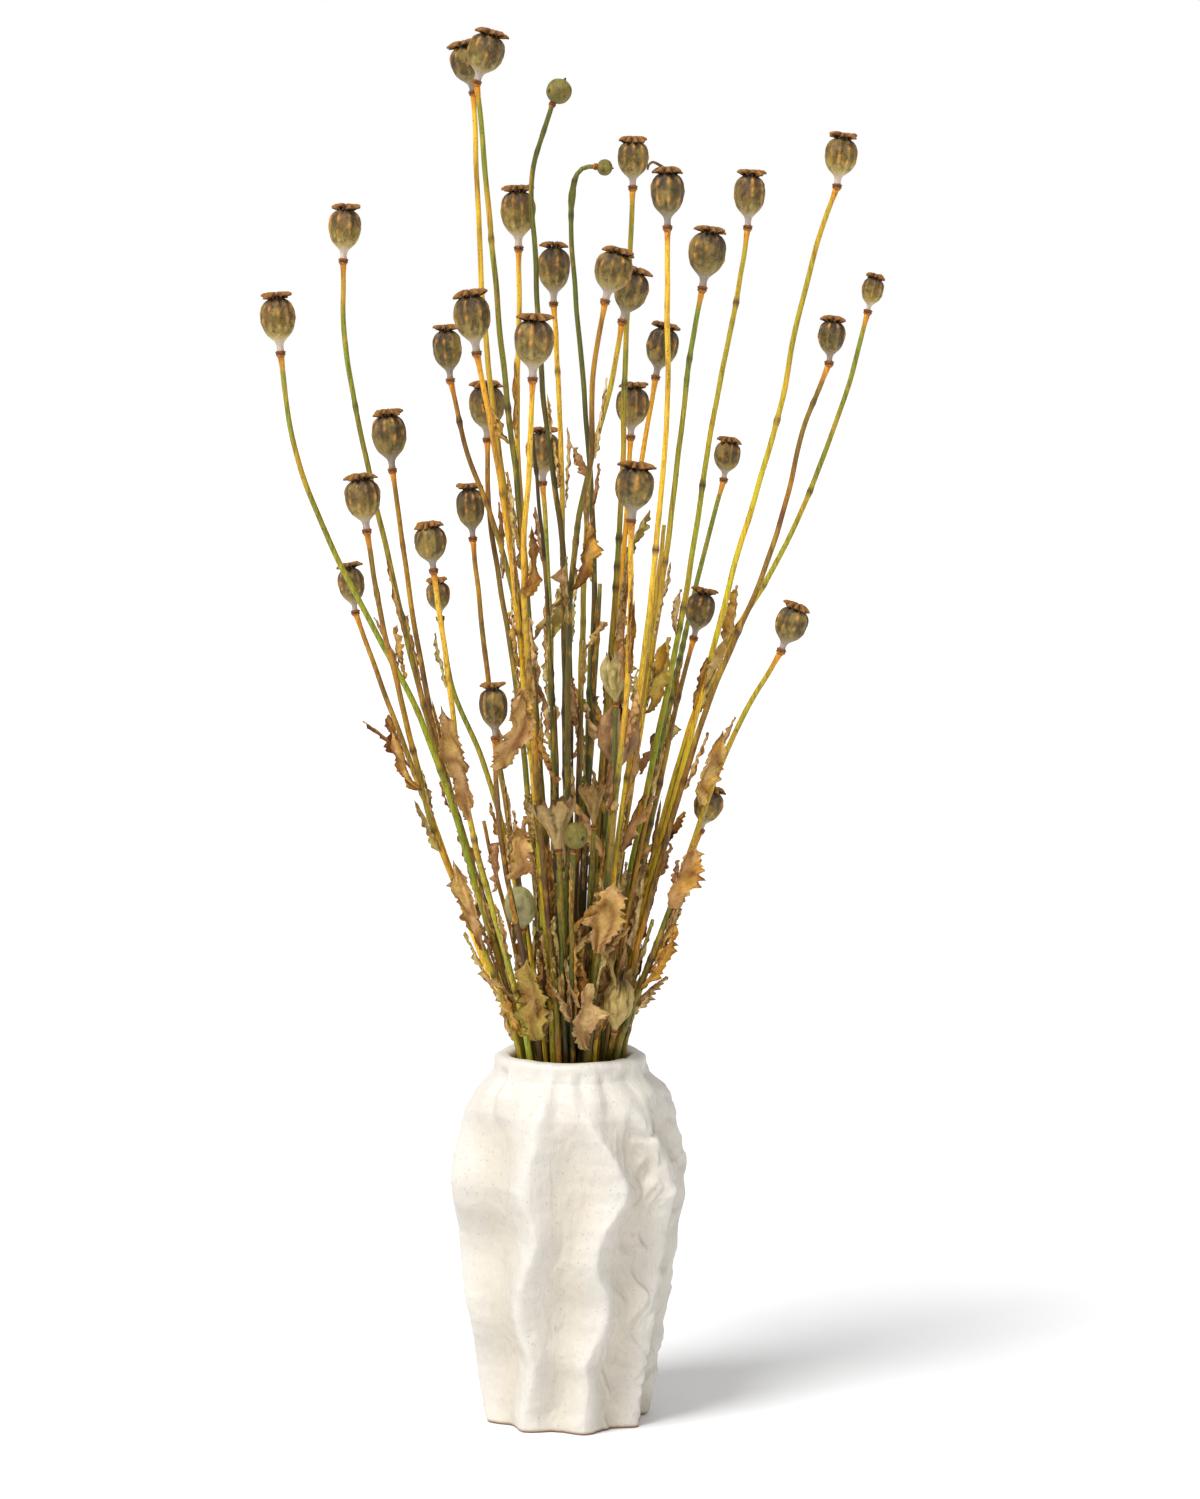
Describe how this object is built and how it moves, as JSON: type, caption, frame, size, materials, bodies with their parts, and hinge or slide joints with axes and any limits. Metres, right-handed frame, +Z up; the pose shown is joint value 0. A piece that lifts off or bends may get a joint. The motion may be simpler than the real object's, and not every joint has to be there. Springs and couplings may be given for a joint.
{
  "type": "dried poppy seed heads in a vase",
  "caption": "Tall loose bunch of dried poppy stems with ribbed seed heads and dry leaves, standing in a hand-modelled white ribbed vase.",
  "frame": {"origin": "middle of the vase's flat underside, on the surface it stands on", "axes": "+Z up along the vase's axis and the stems, -Y to the front, +X to the right seen from the front"},
  "size_m": [0.3994, 0.2924, 0.9069],
  "materials": {
    "vase_clay": "warm white unglazed clay, hand-tooled, matte",
    "dry_poppy": "dry olive-brown capsules with golden ribs on green and ochre stems, matte",
    "green_poppy": "grey-green unripe pods on green stems, waxy matte",
    "withered_poppy": "torn and collapsed tan pods, papery matte",
    "dry_leaf": "crumpled golden-tan dry leaf, matte"
  },
  "bodies": {
    "root": {"leaf_01": "dry_leaf", "leaf_02": "dry_leaf", "leaf_03": "dry_leaf", "leaf_04": "dry_leaf", "leaf_05": "dry_leaf", "leaf_06": "dry_leaf", "leaf_07": "dry_leaf", "leaf_08": "dry_leaf", "leaf_09": "dry_leaf", "leaf_10": "dry_leaf", "leaf_11": "dry_leaf", "leaf_12": "dry_leaf", "leaf_13": "dry_leaf", "leaf_14": "dry_leaf", "leaf_15": "dry_leaf", "leaf_16": "dry_leaf", "poppy_01": "dry_poppy", "poppy_02": "dry_poppy", "poppy_03": "green_poppy", "poppy_04": "green_poppy", "poppy_05": "dry_poppy", "poppy_06": "dry_poppy", "poppy_07": "dry_poppy", "poppy_08": "dry_poppy", "poppy_09": "dry_poppy", "poppy_10": "dry_poppy", "poppy_11": "dry_poppy", "poppy_12": "dry_poppy", "poppy_13": "dry_poppy", "poppy_14": "dry_poppy", "poppy_15": "dry_poppy", "poppy_16": "dry_poppy", "poppy_17": "dry_poppy", "poppy_18": "dry_poppy", "poppy_19": "dry_poppy", "poppy_20": "dry_poppy", "poppy_21": "dry_poppy", "poppy_22": "dry_poppy", "poppy_23": "dry_poppy", "poppy_24": "dry_poppy", "poppy_25": "dry_poppy", "poppy_26": "dry_poppy", "poppy_27": "dry_poppy", "poppy_28": "dry_poppy", "poppy_29": "dry_poppy", "poppy_30": "dry_poppy", "poppy_31": "dry_poppy", "poppy_32": "dry_poppy", "poppy_33": "dry_poppy", "poppy_34": "dry_poppy", "poppy_35": "dry_poppy", "poppy_36": "dry_poppy", "poppy_37": "green_poppy", "poppy_38": "withered_poppy", "poppy_39": "withered_poppy", "poppy_40": "green_poppy", "poppy_41": "withered_poppy", "poppy_42": "withered_poppy", "poppy_43": "withered_poppy", "vase": "vase_clay"}
  },
  "joints": []
}
